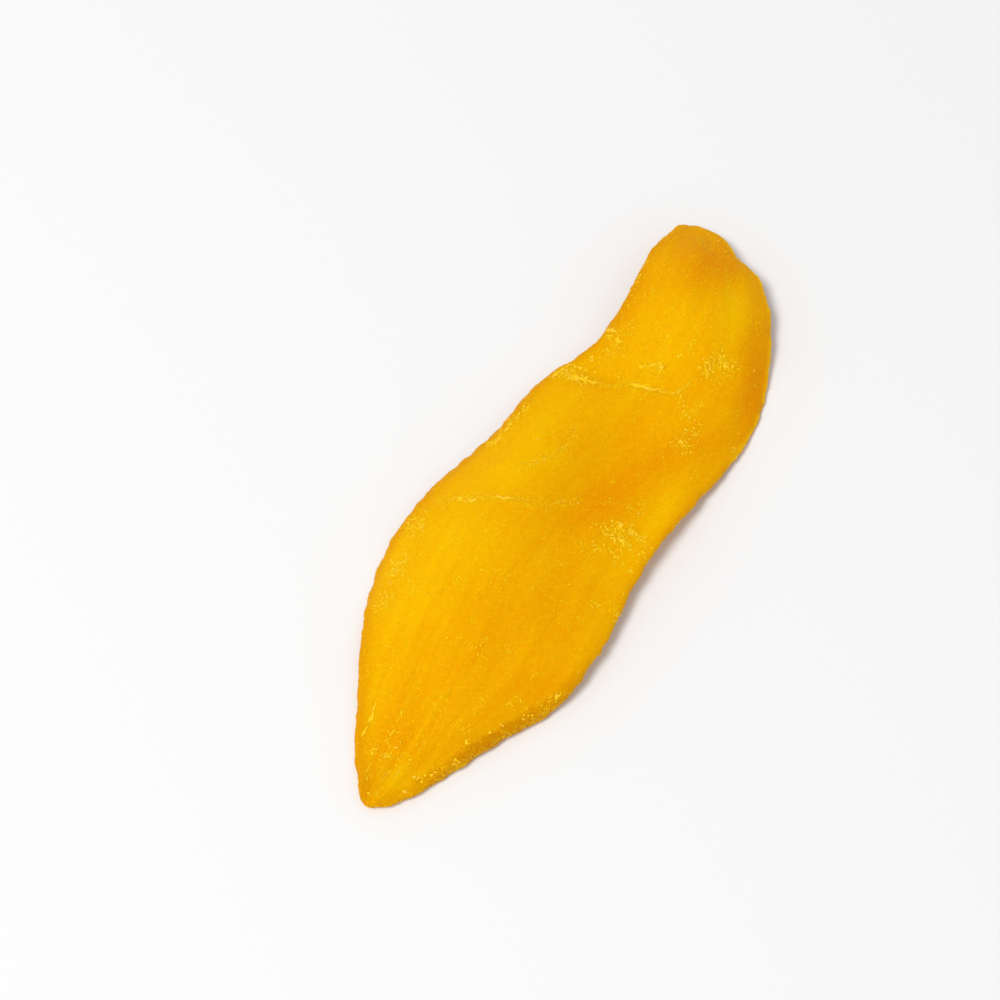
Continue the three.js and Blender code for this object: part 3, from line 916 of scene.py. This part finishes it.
# How it bends at each step, by chance and by its own curl, and the steepest place it lies on
CHANCE_BEND = 0.55
STEADY_CURL = 0.12
STEEPEST = 0.25
ANY_HEADING = (0, 6.3)

# Threads along lines
LINE_TURN = 0.7
LINE_LENGTHS = (0.4, 1.4)
LINE_RADII = (0.6, 1.2)
THREAD_PALENESS = (0.0, 0.95)

# Threads in patches
PATCH_SPREAD = 0.5
PATCH_LENGTHS = (0.3, 0.9)
PATCH_RADII = (1.0, 2.1)
PATCH_BEND = 0.7

# Loose threads, which gather in drifts and head mostly along the slice
LOOSE_HEADING = (1.6, 0.8)
LOOSE_LENGTHS = (0.3, 0.8)
LOOSE_RADII = (0.7, 1.6)
LOOSE_BEND = 0.5
LOOSE_PALENESS = (0.0, 0.5)
DRIFT = dict(across=2.6, along=4.0, deep=4.0, height=1.0, seed=75)
DRIFT_RISE = (0.0, 0.9)
DRIFT_SHARPNESS = 1.5
LEAST_DRIFT = 0.03
TOP_HEIGHT = 2.5

# Shreds of dried skin: how many points of the rim each covers, and how many lie between them
SHRED_POINTS = (4, 11)
SHRED_GAP = (-2, 7)
SHRED_RADII = (0.07, 0.13)
SHRED_PALENESS = (0.3, 0.9)
RIM_POINTS_LEFT = 6

# How high the middle of each kind lies over the flesh, by its radius
THREAD_LIFT = -0.1
LOOSE_LIFT = -0.2
SHRED_LIFT = 0.25

# Height over the table from which the surface is looked for
LOOKOUT = 30


class Surface:
    """The finished flesh, asked where a place on the plan lies on top of it."""

    def __init__(self, mesh):
        self.places = points_of(mesh)
        corners = np.empty(len(mesh.loops), int)
        mesh.loops.foreach_get("vertex_index", corners)
        self.faces = corners.reshape(-1, 4)
        self.tree = BVHTree.FromPolygons(self.places.tolist(), self.faces.tolist())

    def above(self, x, y):
        """The place and the normal on top, or nothing beyond the edge."""
        place, normal, _, _ = self.tree.ray_cast(Vector((x, y, LOOKOUT)), Vector((0, 0, -1)))
        return (place, normal) if place else None

    def nearest(self, place):
        return self.tree.find_nearest(Vector(place))[:2]

    def top(self):
        """The points that lie high enough for loose threads and crumbs."""
        return self.places[self.places[:, 2] > TOP_HEIGHT]


def thread_path(surface, start, heading, length, bend, random):
    """Places and normals of a thread that lies over the top, bending as it goes."""
    path = []
    x, y = start
    curl = random.normal(0, bend)
    for _ in range(max(THREAD_POINTS, int(length / THREAD_STEP))):
        found = surface.above(x, y)
        if found is None or found[1].z < STEEPEST:
            break
        path.append(found)
        heading += random.normal(0, bend) * CHANCE_BEND + curl * STEADY_CURL
        x += THREAD_STEP * math.cos(heading)
        y += THREAD_STEP * math.sin(heading)
    return path


class Tubes:
    """Gathers thin tapering tubes into one piece."""

    def __init__(self):
        self.points, self.faces, self.paleness = [], [], []

    def add(self, path, radius, paleness, lift, random):
        """One tube along a path of places and normals, if the path is long enough."""
        if len(path) < THREAD_POINTS:
            return
        self.add_faces(sum(len(points) for points in self.points), len(path))
        self.points.append(self.rings(path, radius, lift, random).reshape(-1, 3))
        self.paleness.append(np.full(len(path) * THREAD_SIDES, paleness))

    def rings(self, path, radius, lift, random):
        """The flattened rings of points round the path."""
        centres = np.array([place for place, _ in path])
        ups = np.array([normal for _, normal in path])
        headings = np.gradient(centres, axis=0)
        headings /= np.linalg.norm(headings, axis=1)[:, None]
        sides = np.cross(headings, ups)
        sides /= np.linalg.norm(sides, axis=1)[:, None]
        ups = np.cross(sides, headings)
        share = np.linspace(0, 1, len(path))
        taper = THREAD_END + (1 - THREAD_END) * np.sin(np.pi * share) ** THREAD_TAPER
        radii = radius * taper * random.uniform(1 - THREAD_CHANGE, 1 + THREAD_CHANGE, len(path))
        centres = centres + ups * (radii * lift)[:, None]
        turns = np.arange(THREAD_SIDES) * 2 * np.pi / THREAD_SIDES
        sideways = sides[:, None] * (np.cos(turns) * radii[:, None])[..., None]
        upwards = ups[:, None] * (np.sin(turns) * radii[:, None] * THREAD_FLATNESS)[..., None]
        return centres[:, None] + sideways + upwards

    def add_faces(self, first, count):
        """The sides between a tube's rings, and a face on each end."""
        for ring in range(count - 1):
            low = first + ring * THREAD_SIDES
            high = low + THREAD_SIDES
            for side in range(THREAD_SIDES):
                after = (side + 1) % THREAD_SIDES
                self.faces.append((low + side, low + after, high + after, high + side))
        last = first + (count - 1) * THREAD_SIDES
        self.faces.append(tuple(first + side for side in reversed(range(THREAD_SIDES))))
        self.faces.append(tuple(last + side for side in range(THREAD_SIDES)))

    def make_piece(self, name):
        mesh = bpy.data.meshes.new(name)
        mesh.from_pydata((np.concatenate(self.points) * MM).tolist(), [], self.faces)
        set_values(mesh, "paleness", np.concatenate(self.paleness))
        finish_piece(new_object(name, mesh), pale_material(name))


def add_line_threads(tubes, surface, random):
    for line, count, spread, usual_length, bend, width in THREADS:
        for _ in range(count):
            start, heading = along_line(line, random.uniform(0, 1))
            heading += random.normal(0, bend * LINE_TURN)
            length = usual_length * random.uniform(*LINE_LENGTHS)
            start = start - 0.5 * length * np.array([math.cos(heading), math.sin(heading)])
            start = start + random.normal(0, spread, 2)
            path = thread_path(surface, start, heading, length, bend, random)
            radius = THREAD_RADIUS * width * random.uniform(*LINE_RADII)
            tubes.add(path, radius, random.uniform(*THREAD_PALENESS), THREAD_LIFT, random)


def add_patch_threads(tubes, surface, random):
    for centre, radii, turn, count, _ in PATCHES:
        angle = math.radians(turn)
        for _ in range(count):
            along, across = random.normal(0, PATCH_SPREAD, 2) * radii
            start = np.array(centre) + [
                along * math.cos(angle) - across * math.sin(angle),
                along * math.sin(angle) + across * math.cos(angle),
            ]
            heading, length = random.uniform(*ANY_HEADING), random.uniform(*PATCH_LENGTHS)
            path = thread_path(surface, start, heading, length, PATCH_BEND, random)
            radius = THREAD_RADIUS * random.uniform(*PATCH_RADII)
            tubes.add(path, radius, random.uniform(*THREAD_PALENESS), THREAD_LIFT, random)


def drifts(surface, random):
    """Places on the plan for the loose threads, most of them close to others."""
    top = surface.top()
    thickness = ramp(*DRIFT_RISE, fibres(top, DRIFT)) ** DRIFT_SHARPNESS + LEAST_DRIFT
    return top[random.choice(len(top), LOOSE_THREADS, p=thickness / thickness.sum()), :2]


def add_loose_threads(tubes, surface, random):
    for start in drifts(surface, random):
        heading, length = random.normal(*LOOSE_HEADING), random.uniform(*LOOSE_LENGTHS)
        path = thread_path(surface, start, heading, length, LOOSE_BEND, random)
        radius = THREAD_RADIUS * random.uniform(*LOOSE_RADII)
        tubes.add(path, radius, random.uniform(*LOOSE_PALENESS), LOOSE_LIFT, random)


def make_threads(surface):
    random = np.random.default_rng(71)
    tubes = Tubes()
    add_line_threads(tubes, surface, random)
    add_patch_threads(tubes, surface, random)
    add_loose_threads(tubes, surface, random)
    tubes.make_piece("dried_threads")


def make_rim_skin(surface, rim):
    """Short shreds of dried skin that lie along the rim."""
    random = np.random.default_rng(72)
    tubes = Tubes()
    first = 0
    while first < len(rim) - RIM_POINTS_LEFT:
        length = int(random.integers(*SHRED_POINTS))
        path = [surface.nearest(place) for place in rim[first:first + length]]
        radius = random.uniform(*SHRED_RADII)
        tubes.add(path, radius, random.uniform(*SHRED_PALENESS), SHRED_LIFT, random)
        first += length + int(random.integers(*SHRED_GAP))
    tubes.make_piece("rim_skin")


# The sugar and the crumbs

# A crystal's points and faces before it is turned, and how its points are stretched
CRYSTAL_POINTS = np.array([(1, 0, 0), (-1, 0, 0), (0, 1, 0), (0, -1, 0), (0, 0, 1), (0, 0, -1)], float)
CRYSTAL_FACES = np.array([
    (0, 2, 4), (2, 1, 4), (1, 3, 4), (3, 0, 4), (2, 0, 5), (1, 2, 5), (3, 1, 5), (0, 3, 5),
])
CRYSTAL_STRETCH = (0.6, 1.3)

# Grains of sugar
GRAIN_COUNT = 15000
GRAIN_SIZE = 0.066
GRAIN_SIZE_SPREAD = 0.45
GRAIN_FLATNESS = 0.55
GRAIN_LIFT = 0.15
GRAIN_PALENESS = (0, 0.8)
BARE_PALENESS = 0.2
DUSTY_PALENESS = 1.2
DUST_SHARPNESS = 1.6

# Crumbs
CRUMB_SIZE = 0.21
CRUMB_SIZES = (0.5, 1.5)
CRUMB_FLATNESS = 0.8
CRUMB_PALENESS = (0.5, 1.0)


def crystals(places, normals, sizes, flatness, random):
    """Points and faces of small uneven eight-sided crystals that lie flat on the flesh."""
    count, corners = len(places), len(CRYSTAL_POINTS)
    turned = np.linalg.qr(random.normal(size=(count, 3, 3)))[0]
    stretch = random.uniform(*CRYSTAL_STRETCH, (count, corners, 1))
    reach = sizes[:, None, None] * np.einsum("gij,pj->gpi", turned, CRYSTAL_POINTS) * stretch
    height = np.einsum("gpi,gi->gp", reach, normals)
    points = places[:, None] + reach - flatness * height[..., None] * normals[:, None]
    points[..., 2] = np.maximum(points[..., 2], 0)
    faces = (np.arange(count)[:, None, None] * corners + CRYSTAL_FACES).reshape(-1, 3)
    return points.reshape(-1, 3), faces


def crystal_piece(name, points, faces, paleness):
    """One piece of crystals, each with its own paleness."""
    mesh = bpy.data.meshes.new(name)
    mesh.from_pydata((points * MM).tolist(), [], faces.tolist())
    set_values(mesh, "paleness", np.repeat(paleness, len(CRYSTAL_POINTS)))
    finish_piece(new_object(name, mesh), pale_material(name))
    return mesh


def crumb_places(surface, random):
    """Places and normals of the crumbs: close together in knots, and some alone anywhere on top."""
    groups = []
    for centre, count, spread in CRUMBS:
        groups.append(centre + random.normal(0, spread, (count, 2)))
    top = surface.top()[:, :2]
    groups.append(top[random.integers(0, len(top), LONE_CRUMBS)])
    found = [surface.above(x, y) for x, y in np.concatenate(groups)]
    lying = np.array([(place, normal) for place, normal in filter(None, found)])
    return lying[:, 0], lying[:, 1]


def make_crumbs(surface):
    """Pale crumbs, with flat faces that each catch the light their own way."""
    random = np.random.default_rng(74)
    places, normals = crumb_places(surface, random)
    sizes = CRUMB_SIZE * random.uniform(*CRUMB_SIZES, len(places))
    points, faces = crystals(places, normals, sizes, CRUMB_FLATNESS, random)
    paleness = random.uniform(*CRUMB_PALENESS, len(places))
    mesh = crystal_piece("crust_crumbs", points, faces, paleness)
    mesh.shade_flat()


def make_sugar(surface, dust):
    """Small crystals stuck to the flesh, more of them where it is dusty."""
    random = np.random.default_rng(73)
    corners = surface.places[surface.faces]
    first, second = corners[:, 1] - corners[:, 0], corners[:, 3] - corners[:, 0]
    facing = np.cross(first, second)
    area = np.linalg.norm(facing, axis=1)
    chance = area * dust[surface.faces].mean(axis=1) ** DUST_SHARPNESS
    chosen = random.choice(len(area), GRAIN_COUNT, p=chance / chance.sum())
    u, v = random.uniform(0, 1, (2, GRAIN_COUNT, 1))
    normals = facing[chosen] / area[chosen][:, None]
    sizes = GRAIN_SIZE * np.exp(random.normal(0, GRAIN_SIZE_SPREAD, GRAIN_COUNT))
    places = corners[chosen, 0] + u * first[chosen] + v * second[chosen]
    places += normals * (GRAIN_LIFT * sizes)[:, None]
    points, faces = crystals(places, normals, sizes, GRAIN_FLATNESS, random)
    dustily = np.clip(BARE_PALENESS + DUSTY_PALENESS * dust[surface.faces[chosen, 0]], 0, 1)
    crystal_piece("sugar_grains", points, faces, random.uniform(*GRAIN_PALENESS, GRAIN_COUNT) * dustily)


# The studio, which is in metres

CAMERA_TURN, CAMERA_RISE = math.radians(27.5), math.radians(68)
CAMERA_DISTANCE = 0.373
CAMERA_LENS = 90
CAMERA_NEAREST = 0.01
LOOKED_AT = Vector((-0.00838, -0.0027, 0.003))

# The soft key light, which stands off the picture's left and lower side
KEY_SIZE = 0.42
KEY_POWER = 10.0
KEY_LEFTWARD = 0.8
KEY_DOWNWARD = 0.45
KEY_DISTANCE = 0.56
KEY_HEIGHT = 1.2
SKY_STRENGTH = 0.545

FLOOR_REACH = 3.0
FLOOR_COLOUR = (0.9, 0.9, 0.9, 1)
FLOOR_ROUGHNESS = 0.8


def make_camera():
    back = Vector((
        math.sin(CAMERA_TURN) * math.cos(CAMERA_RISE),
        -math.cos(CAMERA_TURN) * math.cos(CAMERA_RISE),
        math.sin(CAMERA_RISE),
    ))
    camera = new_object("camera", bpy.data.cameras.new("camera"))
    camera.data.lens = CAMERA_LENS
    camera.data.clip_start = CAMERA_NEAREST
    camera.location = LOOKED_AT + back * CAMERA_DISTANCE
    camera.rotation_euler = (-back).to_track_quat("-Z", "Y").to_euler()
    bpy.context.scene.camera = camera


def make_key_light():
    picture_right = Vector((math.cos(CAMERA_TURN), math.sin(CAMERA_TURN), 0))
    picture_up = Vector((-math.sin(CAMERA_TURN), math.cos(CAMERA_TURN), 0))
    off = (-picture_right * KEY_LEFTWARD - picture_up * KEY_DOWNWARD).normalized()
    key = new_object("key", bpy.data.lights.new("key", "AREA"))
    key.data.size = KEY_SIZE
    key.data.energy = KEY_POWER
    key.location = off * KEY_DISTANCE + Vector((0, 0, KEY_HEIGHT))
    key.rotation_euler = (-key.location).to_track_quat("-Z", "Y").to_euler()
    key.visible_camera = False


def make_sky():
    world = bpy.data.worlds.new("studio")
    world.use_nodes = True
    sky = world.node_tree.nodes["Background"]
    sky.inputs["Color"].default_value = (1, 1, 1, 1)
    sky.inputs["Strength"].default_value = SKY_STRENGTH
    bpy.context.scene.world = world
    bpy.context.scene.view_settings.view_transform = "Standard"


def make_floor():
    mesh = bpy.data.meshes.new("floor")
    reach = FLOOR_REACH
    corners = [(-reach, -reach, 0), (reach, -reach, 0), (reach, reach, 0), (-reach, reach, 0)]
    mesh.from_pydata(corners, [], [(0, 1, 2, 3)])
    floor = new_object("floor", mesh)
    nodes = Nodes("floor")
    nodes.finish("Base Color", FLOOR_COLOUR)
    nodes.finish("Roughness", FLOOR_ROUGHNESS)
    mesh.materials.append(nodes.material)


make_camera()
make_key_light()
make_sky()
make_floor()
flesh, flesh_dust, flesh_rim = make_flesh()
flesh_surface = Surface(flesh.data)
make_threads(flesh_surface)
make_rim_skin(flesh_surface, flesh_rim)
make_crumbs(flesh_surface)
make_sugar(flesh_surface, flesh_dust)
